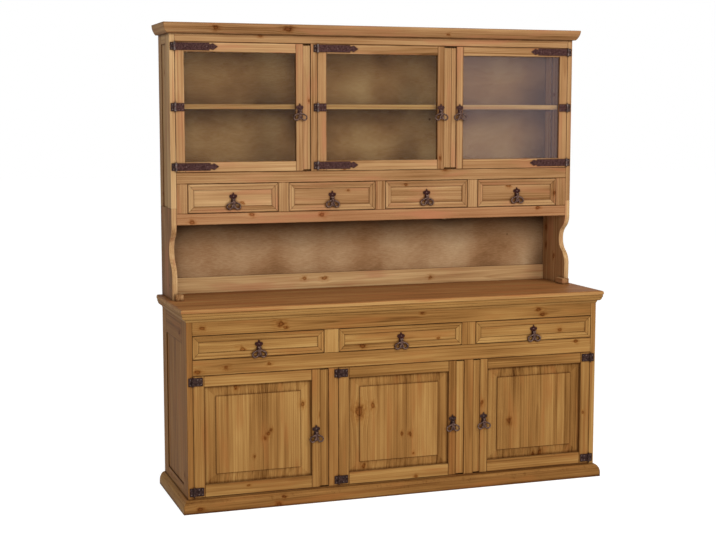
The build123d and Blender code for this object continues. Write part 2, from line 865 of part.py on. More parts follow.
def glass_door(place, hinge_side, strip_w):
    name = f"glass_door_{place}"
    z = (hutch_door_bottom + door_gap, hutch_door_top - door_gap)
    leaf, strip, stiles, pin_x, pull_x = hang(
        hutch_door_openings[place], hinge_side, strip_w, glass_hinge_stile, glass_free_stile
    )
    y = (hutch_front, hutch_front + door_t)
    pane_y = (hutch_front + glass_back, hutch_front + glass_back + glass_t)
    pieces, inner_x, inner_z = framed(leaf, z, y, stiles, (glass_door_bottom_rail, glass_door_top_rail))
    recess = board(grown(inner_x, rebate), (pane_y[0], y[1]), grown(inner_z, rebate))
    beads = framed(
        grown(inner_x, rebate), grown(inner_z, rebate), (pane_y[1], y[1]), (rebate, rebate), (rebate, rebate)
    )[0]
    strip_y = (hutch_front + glass_strip_back, hutch_front + glass_strip_back + strip_t)
    closing = board(strip, strip_y, grown(z, -glass_strip_short))
    write(name, [*[piece - recess for piece in pieces], *beads, closing])
    pane_edge = rebate - rebate_clear
    write(f"{name}_pane", [board(grown(inner_x, pane_edge), pane_y, grown(inner_z, pane_edge))])
    strap = strap_leaf(strap_length, strap_h)
    strap_nails = [(strap_nail_gap * count, 0) for count in (1, 2, 3)]
    short_leaf = plain_leaf(mid_hinge_leaf, mid_hinge_h)
    short_nails = two_rows((mid_hinge_leaf - nail_in, mid_hinge_leaf / 2), mid_hinge_h)
    hinges = [
        hinge(pin_x, hutch_front, z[1] - strap_in_top, -hinge_side, strap_h, strap, strap_nails),
        hinge(pin_x, hutch_front, z[0] + mid_hinge_up, -hinge_side, mid_hinge_h, short_leaf, short_nails),
        hinge(pin_x, hutch_front, z[0] + strap_in_bottom, -hinge_side, strap_h, strap, strap_nails),
    ]
    return write_iron(name, pull_x, hutch_front, z[0] + glass_door_pull_up, hinges)


frame_leaves = [
    *base_door("left", -1, base_left_strip),
    *base_door("middle", -1, base_middle_strip),
    *base_door("right", 1, base_right_strip),
    *glass_door("left", -1, glass_left_strip),
    *glass_door("middle", -1, glass_middle_strip),
    *glass_door("right", 1, glass_right_strip),
]
write("frame_hinge_leaves", frame_leaves)
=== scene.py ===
import json
import math
import random

import bmesh
import bpy
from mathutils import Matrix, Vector


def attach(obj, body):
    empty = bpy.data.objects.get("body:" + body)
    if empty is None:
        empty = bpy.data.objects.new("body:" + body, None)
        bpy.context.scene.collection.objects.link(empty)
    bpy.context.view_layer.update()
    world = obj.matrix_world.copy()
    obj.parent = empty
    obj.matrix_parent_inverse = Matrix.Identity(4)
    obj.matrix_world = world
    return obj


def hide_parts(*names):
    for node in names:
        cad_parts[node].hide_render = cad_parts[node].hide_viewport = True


# a rustic pine cabinet of two parts: its boards, plywood backs, ironwork and panes, in metres
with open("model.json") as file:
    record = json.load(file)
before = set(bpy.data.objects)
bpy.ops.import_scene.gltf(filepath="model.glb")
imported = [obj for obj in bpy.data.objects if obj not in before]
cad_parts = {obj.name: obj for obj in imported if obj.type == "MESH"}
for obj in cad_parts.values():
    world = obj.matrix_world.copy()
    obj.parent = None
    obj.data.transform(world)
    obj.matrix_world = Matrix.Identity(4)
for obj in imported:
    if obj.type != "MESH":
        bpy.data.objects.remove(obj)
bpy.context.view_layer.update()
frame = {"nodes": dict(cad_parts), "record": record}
bodyOf = {node: body for body, nodes in frame["record"]["behaviour"]["bodies"].items() for node in nodes}
scene = bpy.context.scene
scene.view_settings.view_transform = "Standard"

cameraView = {
    "place": (-2.0538, -5.6440, 1.6169), "turn": -0.3310, "down": 0.1117, "lens": 69.15, "reach": 60,
}

cameraData = bpy.data.cameras.new("camera")
cameraData.lens = cameraView["lens"]
cameraData.clip_end = cameraView["reach"]
camera = bpy.data.objects.new("camera", cameraData)
camera.location = cameraView["place"]
camera.rotation_euler = (math.pi / 2 - cameraView["down"], 0, cameraView["turn"])
scene.collection.objects.link(camera)
scene.camera = camera

studio = {
    "lamps": {
        "keyRight": {"place": (2.6, -4.4, 3.9), "aim": (0, -0.1, 0.95), "size": 2.4, "power": 125},
        "fillFront": {"place": (-1.6, -6.0, 2.4), "aim": (0, 0, 0.9), "size": 3.0, "power": 150},
        "topSoft": {"place": (0.2, -0.9, 5.2), "aim": (0, 0, 1.0), "size": 3.0, "power": 40},
    },
    "white": (1, 1, 1, 1),
    "ambient": 0.36,
    "floorSize": 60.0,
    "floorMatte": 0.8,
    "floorGlow": 0.90,
    "floorShade": 0.30,
}


def addLamp(name, lamp):
    lampData = bpy.data.lights.new(name, "AREA")
    lampData.shape = "DISK"
    lampData.size = lamp["size"]
    lampData.energy = lamp["power"]
    lampObject = bpy.data.objects.new(name, lampData)
    towards = Vector(lamp["aim"]) - Vector(lamp["place"])
    lampObject.location = lamp["place"]
    lampObject.rotation_euler = towards.to_track_quat("-Z", "Y").to_euler()
    scene.collection.objects.link(lampObject)


for name, lamp in studio["lamps"].items():
    addLamp(name, lamp)


# a colour given in 0 to 255 as a screen shows it, made linear by the sRGB curve
def colourOf(red, green, blue):
    shown = [value / 255 for value in (red, green, blue)]
    linear = [value / 12.92 if value < 0.0404 else ((value + 0.055) / 1.055) ** 2.4 for value in shown]
    return (*linear, 1.0)


def greyOf(value):
    return (value, value, value, 1.0)


# a shader node whose inputs are links where a socket is given, and values elsewhere
def addNode(tree, kind, inputs=None, **settings):
    node = tree.nodes.new("ShaderNode" + kind)
    for name, value in settings.items():
        setattr(node, name, value)
    for name, value in (inputs or {}).items():
        if isinstance(value, bpy.types.NodeSocket):
            tree.links.new(value, node.inputs[name])
        else:
            node.inputs[name].default_value = value
    return node


def calc(tree, operation, *values, clamp=False):
    return addNode(tree, "Math", dict(enumerate(values)), operation=operation, use_clamp=clamp).outputs[0]


# a value that a noise moves up and down around the noise's middle
def varied(tree, value, noise, amount, middle=0.5):
    return calc(tree, "MULTIPLY_ADD", calc(tree, "SUBTRACT", noise, middle), amount, value)


def blendColours(tree, amount, first, second, how="MIX"):
    inputs = {0: amount, 6: first, 7: second}
    return addNode(tree, "Mix", inputs, data_type="RGBA", blend_type=how, clamp_factor=True).outputs[2]


def joined(tree, x, y, z):
    return addNode(tree, "CombineXYZ", {0: x, 1: y, 2: z}).outputs[0]


def parted(tree, vector):
    return addNode(tree, "SeparateXYZ", {0: vector}).outputs[:3]


def attribute(tree, name, output="Vector"):
    return addNode(tree, "Attribute", attribute_name=name).outputs[output]


def ramp(tree, value, stops):
    node = addNode(tree, "ValToRGB", {0: value})
    while len(node.color_ramp.elements) < len(stops):
        node.color_ramp.elements.new(1.0)
    for element, (place, colour) in zip(node.color_ramp.elements, stops):
        element.position = place
        element.color = colour if isinstance(colour, tuple) else greyOf(colour)
    return node.outputs[0]


noiseStart = (41.3, 207.7)  # far from the noise's origin, where all its octaves fade at once


# noise whose cells are drawn out along the grain
def grainNoise(tree, along, across, third, stretch, detail=2.0, roughness=0.5, shift=None):
    away = calc(tree, "MULTIPLY_ADD", along, stretch[0], noiseStart[0])
    aside = calc(tree, "MULTIPLY_ADD", across, stretch[1], noiseStart[1])
    if shift:
        third = calc(tree, "ADD", third, shift)
    place = joined(tree, away, aside, third)
    inputs = {"Vector": place, "Scale": 1.0, "Detail": detail, "Roughness": roughness}
    return addNode(tree, "TexNoise", inputs).outputs[0]


# 1 in the open, and less the more a place lies in a corner or groove
def openness(tree, reach, samples):
    return addNode(tree, "AmbientOcclusion", {"Distance": reach}, samples=samples).outputs["AO"]


def emptyMaterial(name):
    material = bpy.data.materials.new(name)
    material.use_nodes = True
    material.node_tree.nodes.clear()
    return material, material.node_tree


# 1 where the camera sees a thing, straight, mirrored or through glass, and 0 for the light that it casts
def seenDirectly(tree):
    rays = addNode(tree, "LightPath").outputs
    mirrored = calc(tree, "MAXIMUM", rays["Is Glossy Ray"], rays["Is Transmission Ray"])
    return calc(tree, "MAXIMUM", rays["Is Camera Ray"], mirrored)


def makeWorld():
    world = bpy.data.worlds.new("studio")
    world.use_nodes = True
    scene.world = world
    tree = world.node_tree
    tree.nodes.clear()
    ambient = studio["ambient"]
    strength = calc(tree, "MULTIPLY_ADD", seenDirectly(tree), 1.0 - ambient, ambient)
    background = addNode(tree, "Background", {"Color": studio["white"], "Strength": strength})
    addNode(tree, "OutputWorld", {0: background.outputs[0]})


def floorMaterial():
    material, tree = emptyMaterial("paleFloor")
    matte = addNode(tree, "BsdfDiffuse", {"Color": greyOf(studio["floorMatte"])}).outputs[0]
    dull = addNode(tree, "BsdfDiffuse", {"Color": greyOf(studio["floorShade"])}).outputs[0]
    glow = addNode(tree, "Emission", {"Color": studio["white"], "Strength": studio["floorGlow"]}).outputs[0]
    white = addNode(tree, "AddShader", {0: dull, 1: glow}).outputs[0]
    shown = addNode(tree, "MixShader", {0: seenDirectly(tree), 1: matte, 2: white}).outputs[0]
    addNode(tree, "OutputMaterial", {0: shown})
    return material


def makeFloor():
    floorMesh = bpy.data.meshes.new("floor")
    bm = bmesh.new()
    bmesh.ops.create_grid(bm, x_segments=1, y_segments=1, size=studio["floorSize"] / 2)
    bm.to_mesh(floorMesh)
    bm.free()
    floorMesh.materials.append(floorMaterial())
    floor = bpy.data.objects.new("floor", floorMesh)
    scene.collection.objects.link(floor)


makeWorld()
makeFloor()
print("studio ready")

# knots: how they bend the grain, how ragged they are, and their colours from the heart outwards
knotFigure = {
    "names": ("knotA", "knotB", "knotC", "knotD", "knotE", "knotF"),
    "bend": 0.75, "bendFade": 0.11, "length": 0.7, "smallest": 0.00001, "reach": 4.0, "noneNear": 9.0,
    "outline": {"stretch": (55.0, 75.0), "detail": 3.0}, "ragged": (2.4, -0.2), "raggedLeast": 0.25,
    "shades": [
        (0.0, (0.60, 0.40, 0.28, 1)), (0.15, (0.66, 0.46, 0.33, 1)), (0.22, (0.30, 0.17, 0.09, 1)),
        (0.30, (0.66, 0.50, 0.38, 1)), (0.52, (0.92, 0.85, 0.77, 1)), (0.95, (1, 1, 1, 1)),
    ],
}


# knots push the grain aside: the place across after that, and the distance to the nearest knot in its radii
def bentByKnots(tree, along, across):
    bent, nearest = across, knotFigure["noneNear"]
    for knot in knotFigure["names"]:
        knotAlong, knotAcross, radius = parted(tree, attribute(tree, knot))
        off = calc(tree, "SUBTRACT", across, knotAcross)
        on = calc(tree, "MULTIPLY", calc(tree, "SUBTRACT", along, knotAlong), knotFigure["length"])
        far = calc(tree, "SQRT", calc(tree, "MULTIPLY_ADD", on, on, calc(tree, "MULTIPLY", off, off)))
        near = calc(tree, "DIVIDE", far, calc(tree, "MAXIMUM", radius, knotFigure["smallest"]))
        fade = calc(tree, "MULTIPLY", calc(tree, "MULTIPLY", near, near), -knotFigure["bendFade"])
        pull = calc(tree, "MULTIPLY", off, calc(tree, "EXPONENT", fade))
        bent = calc(tree, "MULTIPLY_ADD", pull, -knotFigure["bend"], bent)
        nearest = calc(tree, "MINIMUM", nearest, near)
    return bent, nearest


# the colour that the nearest knot lays over the wood, with a ragged outline
def knotShade(tree, along, across, seed, nearest):
    noise = grainNoise(tree, along, across, seed, **knotFigure["outline"])
    ragged = calc(tree, "MULTIPLY_ADD", noise, *knotFigure["ragged"])
    reach = calc(tree, "DIVIDE", nearest, calc(tree, "MAXIMUM", ragged, knotFigure["raggedLeast"]))
    return ramp(tree, calc(tree, "DIVIDE", reach, knotFigure["reach"]), knotFigure["shades"])


# the pine's figure: sizes in metres, how strongly each part of it shows, noises with their repeats in a metre
# along and across the grain, and ramps as places and strengths
pineFigure = {
    "ringGap": 0.0075, "ringWander": 0.009, "slope": 0.030, "pithAside": 0.16, "pithBelow": (0.010, 0.09),
    "seedStep": 3.7, "seedSpread": 11.0, "sideTurn": 60.0, "fibreTurn": 420.0,
    "middle": 0.62, "plankShow": 0.20, "patchShow": 0.56, "fibreShow": 0.26, "fineShow": 0.46,
    "ringShow": 0.17, "streakShow": 0.24, "cutShow": 0.22, "warmShow": 0.7,
    "specular": 0.02, "bump": {"Strength": 0.3, "Distance": 0.0007}, "ringRelief": 0.5, "streakRelief": -0.5,
    "noises": {
        "wander": {"stretch": (1.1, 8.0)},
        "ringPlaces": {"stretch": (2.5, 18.0), "shift": 2.0},
        "streaks": {"stretch": (0.9, 62.0), "detail": 3.0},
        "fine": {"stretch": (1.1, 180.0), "detail": 1.0},
        "fibres": {"stretch": (7.0, 430.0)},
        "patches": {"stretch": (2.2, 14.0), "shift": 5.0},
        "reds": {"stretch": (3.4, 20.0), "shift": 9.0},
        "blotches": {"stretch": (14.0, 90.0), "detail": 3.0, "roughness": 0.6},
    },
    "ramps": {
        "rings": [(0.0, 0.0), (0.40, 0.10), (0.80, 0.80), (0.90, 1.0), (1.0, 0.0)],
        "ringPlaces": [(0.38, 0.15), (0.62, 1.0)],
        "streaks": [(0.46, 0.0), (0.60, 0.55), (0.74, 1.0)],
        "cutAcross": [(0.015, 0.0), (0.05, 0.8), (0.6, 1.0)],
        "onFlat": [(0.45, 0.0), (0.75, 1.0)],
        "blotches": [(0.34, 0.15), (0.62, 1.0)],
        "reds": [(0.54, 0.0), (0.70, 0.50)],
    },
}


# each glued plank is cut from a tree of its own: its number, the place in it, and three chances
def plankOf(tree, across, bent, plank, seed):
    index = calc(tree, "FLOOR", calc(tree, "ADD", calc(tree, "DIVIDE", across, plank), 0.5))
    inPlank = calc(tree, "SUBTRACT", bent, calc(tree, "MULTIPLY", index, plank))
    chance = addNode(tree, "TexWhiteNoise", {"Vector": joined(tree, index, seed, 0.0)}, noise_dimensions="3D")
    return index, inPlank, parted(tree, chance.outputs["Color"])


# the dark late wood of the year rings, which lie around a pith beside and below the board
def ringsOf(tree, along, bent, deep, inPlank, chances, ownSeed):
    noises, ramps = pineFigure["noises"], pineFigure["ramps"]
    low, high = pineFigure["pithBelow"]
    pithAside = calc(tree, "MULTIPLY", calc(tree, "SUBTRACT", chances[0], 0.5), pineFigure["pithAside"])
    pithBelow = calc(tree, "MULTIPLY_ADD", chances[1], high - low, low)
    slope = calc(tree, "MULTIPLY", calc(tree, "SUBTRACT", chances[2], 0.5), 2 * pineFigure["slope"])
    sideways = calc(tree, "SUBTRACT", inPlank, pithAside)
    height = calc(tree, "ADD", calc(tree, "MULTIPLY_ADD", along, slope, pithBelow), deep)
    squares = calc(tree, "MULTIPLY_ADD", sideways, sideways, calc(tree, "MULTIPLY", height, height))
    wander = grainNoise(tree, along, bent, ownSeed, **noises["wander"])
    ring = calc(tree, "MULTIPLY_ADD", wander, pineFigure["ringWander"], calc(tree, "SQRT", squares))
    phase = calc(tree, "FRACT", calc(tree, "DIVIDE", ring, pineFigure["ringGap"]))
    places = grainNoise(tree, along, bent, ownSeed, **noises["ringPlaces"])
    places = ramp(tree, places, ramps["ringPlaces"])
    return calc(tree, "MULTIPLY", ramp(tree, phase, ramps["rings"]), places)


# how far the surface faces along a direction that the board carries, from 0 to 1
def facingAlong(tree, normal, name):
    facing = addNode(tree, "VectorMath", {0: normal, 1: attribute(tree, name)}, operation="DOT_PRODUCT")
    return calc(tree, "ABSOLUTE", facing.outputs["Value"])


def boardNormal(tree):
    normal = addNode(tree, "NewGeometry").outputs["True Normal"]
    turned = addNode(
        tree, "VectorTransform", {0: normal}, vector_type="NORMAL", convert_from="WORLD", convert_to="OBJECT",
    )
    return turned.outputs[0]


# old stain on each board's outline and around a raised field; in grooves, stain with painted shade, and
# thinly in corners, painted shade
stainAndShadeFigure = {
    "outline": 0.0026, "outlineShow": 0.62, "outlineRagged": -0.5, "outlineMiddle": 0.6,
    "outlineRamp": [(0.55, 1.0), (1.0, 0.0)],
    "fieldLine": 0.0026, "fieldPast": 0.001, "fieldRamp": [(0.5, 0.8), (1.0, 0.0)],
    "grooveShadeReach": 0.012, "grooveShadeSamples": 8, "grooveShadeRamp": [(0.42, 1.0), (0.76, 0.66), (0.95, 0.0)],
    "cornerShadeReach": 0.045, "cornerShadeSamples": 6, "cornerShadeRamp": [(0.15, 0.40), (0.45, 0.12), (0.75, 0.0)],
    "thick": 0.7, "blotchy": 0.3,
}


def outlineStain(tree, along, across, blotches):
    halfLong, halfWide = parted(tree, attribute(tree, "half"))[:2]
    toEnd = calc(tree, "SUBTRACT", halfLong, calc(tree, "ABSOLUTE", along))
    toSide = calc(tree, "SUBTRACT", halfWide, calc(tree, "ABSOLUTE", across))
    toEdge = calc(tree, "DIVIDE", calc(tree, "MINIMUM", toEnd, toSide), stainAndShadeFigure["outline"])
    toEdge = varied(tree, toEdge, blotches, stainAndShadeFigure["outlineRagged"], stainAndShadeFigure["outlineMiddle"])
    return calc(tree, "MULTIPLY", ramp(tree, toEdge, stainAndShadeFigure["outlineRamp"]), stainAndShadeFigure["outlineShow"])


def fieldStain(tree, along, across, fieldLong, fieldWide):
    pastEnd = calc(tree, "SUBTRACT", calc(tree, "ABSOLUTE", along), fieldLong)
    pastSide = calc(tree, "SUBTRACT", calc(tree, "ABSOLUTE", across), fieldWide)
    past = calc(tree, "SUBTRACT", calc(tree, "MAXIMUM", pastEnd, pastSide), stainAndShadeFigure["fieldPast"])
    toField = calc(tree, "DIVIDE", calc(tree, "ABSOLUTE", past), stainAndShadeFigure["fieldLine"])
    return ramp(tree, toField, stainAndShadeFigure["fieldRamp"])


def stainAndPaintedShade(tree, along, across, onFlat, blotches, share):
    fieldLong, fieldWide, cornerShadeShare = parted(tree, attribute(tree, "field"))
    outline = outlineStain(tree, along, across, blotches)
    outline = calc(tree, "MAXIMUM", outline, fieldStain(tree, along, across, fieldLong, fieldWide))
    outline = calc(tree, "MULTIPLY", outline, onFlat)
    # painted shade in grooves and tight corners, where it also stands for stain pooled there
    stainLinesAndShade = openness(tree, stainAndShadeFigure["grooveShadeReach"], stainAndShadeFigure["grooveShadeSamples"])
    stainLinesAndShade = calc(tree, "MAXIMUM", ramp(tree, stainLinesAndShade, stainAndShadeFigure["grooveShadeRamp"]), outline)
    # painted shade in wider corners, thinner on a raised field
    paintedCornerShade = openness(tree, stainAndShadeFigure["cornerShadeReach"], stainAndShadeFigure["cornerShadeSamples"])
    paintedCornerShade = calc(tree, "MULTIPLY", ramp(tree, paintedCornerShade, stainAndShadeFigure["cornerShadeRamp"]), cornerShadeShare)
    patchy = calc(tree, "MULTIPLY_ADD", blotches, stainAndShadeFigure["blotchy"], stainAndShadeFigure["thick"])
    stainedAndShaded = calc(tree, "MULTIPLY", calc(tree, "MAXIMUM", stainLinesAndShade, paintedCornerShade), patchy)
    return calc(tree, "MULTIPLY", stainedAndShaded, share)


# each palette's stain colour is laid on both for old stain and for painted shade
pinePalettes = {
    "hutchPine": {
        "pale": (212, 176, 126), "light": (186, 147, 101), "mid": (160, 119, 78), "dark": (124, 85, 48),
        "deep": (80, 48, 24), "red": (178, 116, 82), "stainAndShade": (78, 42, 17), "gloss": 0.55,
    },
    "basePine": {
        "pale": (196, 156, 96), "light": (172, 130, 74), "mid": (148, 105, 56), "dark": (112, 74, 35),
        "deep": (72, 42, 18), "red": (156, 100, 52), "stainAndShade": (66, 32, 10), "gloss": 0.52,
    },
    "tablePine": {
        "pale": (186, 144, 88), "light": (165, 120, 71), "mid": (148, 99, 56), "dark": (116, 72, 37),
        "deep": (72, 42, 20), "red": (156, 92, 52), "stainAndShade": (50, 26, 12), "gloss": 0.50,
    },
}
shadePlaces = {"deep": 0.0, "dark": 0.24, "mid": 0.50, "light": 0.74, "pale": 1.0}


# a palette's colours, from its deepest at 0 to its palest at 1
def shaded(tree, value, palette):
    return ramp(tree, value, [(place, colourOf(*palette[shade])) for shade, place in shadePlaces.items()])


def woodShader(tree, colour, gloss, look, relief):
    bump = addNode(tree, "Bump", {**look["bump"], "Height": relief})
    wood = addNode(
        tree, "BsdfPrincipled",
        {"Base Color": colour, "Roughness": gloss, "Specular IOR Level": look["specular"],
         "Normal": bump.outputs[0]},
    )
    addNode(tree, "OutputMaterial", {0: wood.outputs[0]})


def pineMaterial(name, palette):
    material, tree = emptyMaterial(name)
    noises, ramps = pineFigure["noises"], pineFigure["ramps"]
    along, across, deep = parted(tree, attribute(tree, "grain"))
    lightness, warmth, seed = parted(tree, attribute(tree, "tone"))
    plank, share, edgeHighlight = parted(tree, attribute(tree, "care"))
    bent, nearest = bentByKnots(tree, along, across)
    index, inPlank, chances = plankOf(tree, across, bent, plank, seed)

    # seeds: one for the plank, and two that turn with the depth, so that the edges show a figure of their own
    boardSeed = calc(tree, "MULTIPLY", seed, pineFigure["seedSpread"])
    ownSeed = calc(tree, "MULTIPLY_ADD", index, pineFigure["seedStep"], boardSeed)
    sideSeed = calc(tree, "MULTIPLY_ADD", deep, pineFigure["sideTurn"], ownSeed)
    fineSeed = calc(tree, "MULTIPLY_ADD", deep, pineFigure["fibreTurn"], ownSeed)

    latewood = ringsOf(tree, along, bent, deep, inPlank, chances, ownSeed)
    streaks = ramp(tree, grainNoise(tree, along, bent, sideSeed, **noises["streaks"]), ramps["streaks"])
    fine = grainNoise(tree, along, bent, sideSeed, **noises["fine"])
    fibres = grainNoise(tree, along, bent, fineSeed, **noises["fibres"])
    patches = grainNoise(tree, along, bent, sideSeed, **noises["patches"])
    reds = grainNoise(tree, along, bent, sideSeed, **noises["reds"])
    value = calc(tree, "ADD", lightness, pineFigure["middle"])
    value = varied(tree, value, chances[0], pineFigure["plankShow"])
    value = varied(tree, value, patches, pineFigure["patchShow"])
    value = varied(tree, value, fibres, pineFigure["fibreShow"])
    value = varied(tree, value, fine, pineFigure["fineShow"])
    value = calc(tree, "MULTIPLY_ADD", latewood, -pineFigure["ringShow"], value)
    value = calc(tree, "MULTIPLY_ADD", streaks, -pineFigure["streakShow"], value)

    # board edges are painted lighter, a painted highlight, and wood cut across its fibres drinks more stain,
    # in blotches
    normal = boardNormal(tree)
    onFlat = ramp(tree, facingAlong(tree, normal, "flat"), ramps["onFlat"])
    cutAcross = ramp(tree, facingAlong(tree, normal, "fibre"), ramps["cutAcross"])
    blotches = ramp(tree, grainNoise(tree, along, across, sideSeed, **noises["blotches"]), ramps["blotches"])
    drunk = calc(tree, "MULTIPLY", calc(tree, "MULTIPLY", cutAcross, blotches), share)
    value = calc(tree, "MULTIPLY_ADD", calc(tree, "SUBTRACT", 1.0, onFlat), edgeHighlight, value)
    value = calc(tree, "MULTIPLY_ADD", drunk, -pineFigure["cutShow"], value)

    reds = ramp(tree, reds, ramps["reds"])
    redness = calc(tree, "MULTIPLY_ADD", warmth, pineFigure["warmShow"], reds, clamp=True)
    colour = blendColours(tree, redness, shaded(tree, value, palette), colourOf(*palette["red"]))
    colour = blendColours(tree, 1.0, colour, knotShade(tree, along, across, seed, nearest), "MULTIPLY")
    # stain and painted shade, laid on in the palette's stain colour
    stainedAndShaded = stainAndPaintedShade(tree, along, across, onFlat, blotches, share)
    colour = blendColours(tree, stainedAndShaded, colour, colourOf(*palette["stainAndShade"]))

    relief = calc(tree, "MULTIPLY_ADD", latewood, pineFigure["ringRelief"], fibres)
    relief = calc(tree, "MULTIPLY_ADD", streaks, pineFigure["streakRelief"], relief)
    woodShader(tree, colour, palette["gloss"], pineFigure, relief)
    return material


woods = {name: pineMaterial(name, palette) for name, palette in pinePalettes.items()}

# the backs' plywood, clouded by age, with painted shade in its corners and a painted shadow under the hutch's
# rail
plyLook = {
    "pale": (206, 176, 138), "light": (184, 150, 112), "mid": (162, 123, 86), "dark": (130, 92, 58),
    "deep": (84, 54, 32), "stainAndShade": (52, 29, 14), "gloss": 0.55, "specular": 0.02,
    "middle": 0.55, "cloudShow": 0.65, "bandShow": 0.8, "curlShow": 0.25, "fleckShow": 0.5, "curlBend": 0.25,
    "spotScale": 6.0, "bump": {"Strength": 0.2, "Distance": 0.0005},
    "shadedCornerReach": 0.16, "shadedCornerSamples": 8, "shadedCornerWander": 0.35,
    "shadowBandHeights": (1.03, 1.155), "shadowBandWander": 0.6, "frontBelow": -0.5,
    "noises": {
        "clouds": {"stretch": (5.0, 6.0), "detail": 4.0},
        "bands": {"stretch": (3.6, 1.2), "shift": 3.0},
        "curls": {"stretch": (4.0, 40.0), "detail": 3.0, "roughness": 0.6},
        "flecks": {"stretch": (40.0, 260.0), "detail": 3.0, "roughness": 0.65},
    },
    "ramps": {
        "spots": [(0.015, 0.8), (0.04, 0.0)],
        "corners": [(0.33, 0.88), (0.58, 0.32), (0.92, 0.0)],
        "paintedShadow": [(0.0, 0.0), (0.6, 0.35), (0.97, 0.92), (1.0, 0.0)],
    },
}


# a painted shadow band under the hutch's rail, on the side that faces the front
def paintedShadowBand(tree, clouds):
    place = addNode(tree, "TexCoord").outputs
    low, high = plyLook["shadowBandHeights"]
    height = parted(tree, place["Object"])[2]
    inFront = calc(tree, "LESS_THAN", parted(tree, place["Normal"])[1], plyLook["frontBelow"])
    paintedShadow = calc(tree, "DIVIDE", calc(tree, "SUBTRACT", height, low), high - low)
    paintedShadow = varied(tree, paintedShadow, clouds, plyLook["shadowBandWander"])
    return calc(tree, "MULTIPLY", ramp(tree, paintedShadow, plyLook["ramps"]["paintedShadow"]), inFront)


def plywoodMaterial(name):
    material, tree = emptyMaterial(name)
    noises, ramps = plyLook["noises"], plyLook["ramps"]
    stainAndShade = colourOf(*plyLook["stainAndShade"])
    along, across = parted(tree, attribute(tree, "grain"))[:2]
    seed = parted(tree, attribute(tree, "tone"))[2]
    clouds = grainNoise(tree, along, across, seed, **noises["clouds"])
    bands = grainNoise(tree, along, across, seed, **noises["bands"])
    curled = calc(tree, "MULTIPLY_ADD", clouds, plyLook["curlBend"], across)
    curls = grainNoise(tree, along, curled, seed, **noises["curls"])
    flecks = grainNoise(tree, along, across, seed, **noises["flecks"])
    value = varied(tree, plyLook["middle"], clouds, plyLook["cloudShow"])
    value = varied(tree, value, bands, plyLook["bandShow"])
    value = varied(tree, value, curls, plyLook["curlShow"])
    value = varied(tree, value, flecks, plyLook["fleckShow"])
    spots = addNode(tree, "TexVoronoi", {"Vector": attribute(tree, "grain"), "Scale": plyLook["spotScale"]})
    spots = ramp(tree, spots.outputs["Distance"], ramps["spots"])
    colour = blendColours(tree, spots, shaded(tree, value, plyLook), colourOf(*plyLook["deep"]))
    # painted shade in the corners, uneven with the clouds
    corners = openness(tree, plyLook["shadedCornerReach"], plyLook["shadedCornerSamples"])
    corners = varied(tree, corners, clouds, plyLook["shadedCornerWander"])
    colour = blendColours(tree, ramp(tree, corners, ramps["corners"]), colour, stainAndShade)
    # the painted shadow band under the hutch's rail
    colour = blendColours(tree, paintedShadowBand(tree, clouds), colour, stainAndShade)
    woodShader(tree, colour, plyLook["gloss"], plyLook, flecks)
    return material


woods["cloudedPlywood"] = plywoodMaterial("cloudedPlywood")
print("woods ready")

ironLooks = {
    "blackIron": {
        "low": (30, 13, 10), "high": (50, 25, 20), "wornAndHighlight": (176, 158, 150), "roughness": 0.5, "metal": 0.0,
    },
    "rustIron": {
        "low": (48, 25, 23), "high": (70, 42, 39), "wornAndHighlight": (156, 128, 120), "roughness": 0.5, "metal": 0.0,
    },
    "pullIron": {
        "low": (40, 19, 17), "high": (66, 36, 32), "wornAndHighlight": (158, 132, 116), "roughness": 0.42, "metal": 0.2,
    },
}
ironFigure = {
    "mottle": {"Scale": 150.0, "Detail": 4.0, "Roughness": 0.6}, "mottleRamp": [(0.38, 0.0), (0.62, 1.0)],
    "wearAndHighlightRamp": [(0.40, 0.2), (0.58, 1.0)], "hammerScale": 170.0, "mottleRelief": 0.5,
    "bump": {"Strength": 0.5, "Distance": 0.0008}, "specular": 0.05,
}


# forged iron, rubbed bare where the mesh says so, with a painted highlight on the barrels and the pulls'
# fronts
def ironMaterial(name, look):
    material, tree = emptyMaterial(name)
    place = addNode(tree, "TexCoord").outputs["Object"]
    mottle = addNode(tree, "TexNoise", {"Vector": place, **ironFigure["mottle"]}).outputs[0]
    hammered = addNode(
        tree, "TexVoronoi", {"Vector": place, "Scale": ironFigure["hammerScale"]}, feature="SMOOTH_F1",
    ).outputs["Distance"]
    mixed = ramp(tree, mottle, ironFigure["mottleRamp"])
    colour = blendColours(tree, mixed, colourOf(*look["low"]), colourOf(*look["high"]))
    wearAndHighlightPatches = ramp(tree, mottle, ironFigure["wearAndHighlightRamp"])
    wearAndHighlight = calc(tree, "MULTIPLY", attribute(tree, "wearAndHighlight", "Fac"), wearAndHighlightPatches)
    colour = blendColours(tree, wearAndHighlight, colour, colourOf(*look["wornAndHighlight"]))
    height = calc(tree, "MULTIPLY_ADD", mottle, ironFigure["mottleRelief"], hammered)
    bump = addNode(tree, "Bump", {**ironFigure["bump"], "Height": height})
    metal = addNode(
        tree, "BsdfPrincipled",
        {"Base Color": colour, "Roughness": look["roughness"], "Metallic": look["metal"],
         "Specular IOR Level": ironFigure["specular"], "Normal": bump.outputs[0]},
    )
    addNode(tree, "OutputMaterial", {0: metal.outputs[0]})
    return material


irons = {name: ironMaterial(name, look) for name, look in ironLooks.items()}

# the panes, and the share of dust on each door's, which on the right pane also stands for a painted
# reflection haze
glassLook = {
    "tint": (0.94, 0.94, 0.88, 1), "shine": (0.20, 0.19, 0.20, 1), "roughness": 0.0, "refraction": 1.5,
    "dustAndHazeFilm": (0.69, 0.54, 0.60, 1), "dustAndHazeShare": {"left": 0.006, "middle": 0.006, "right": 0.062},
}


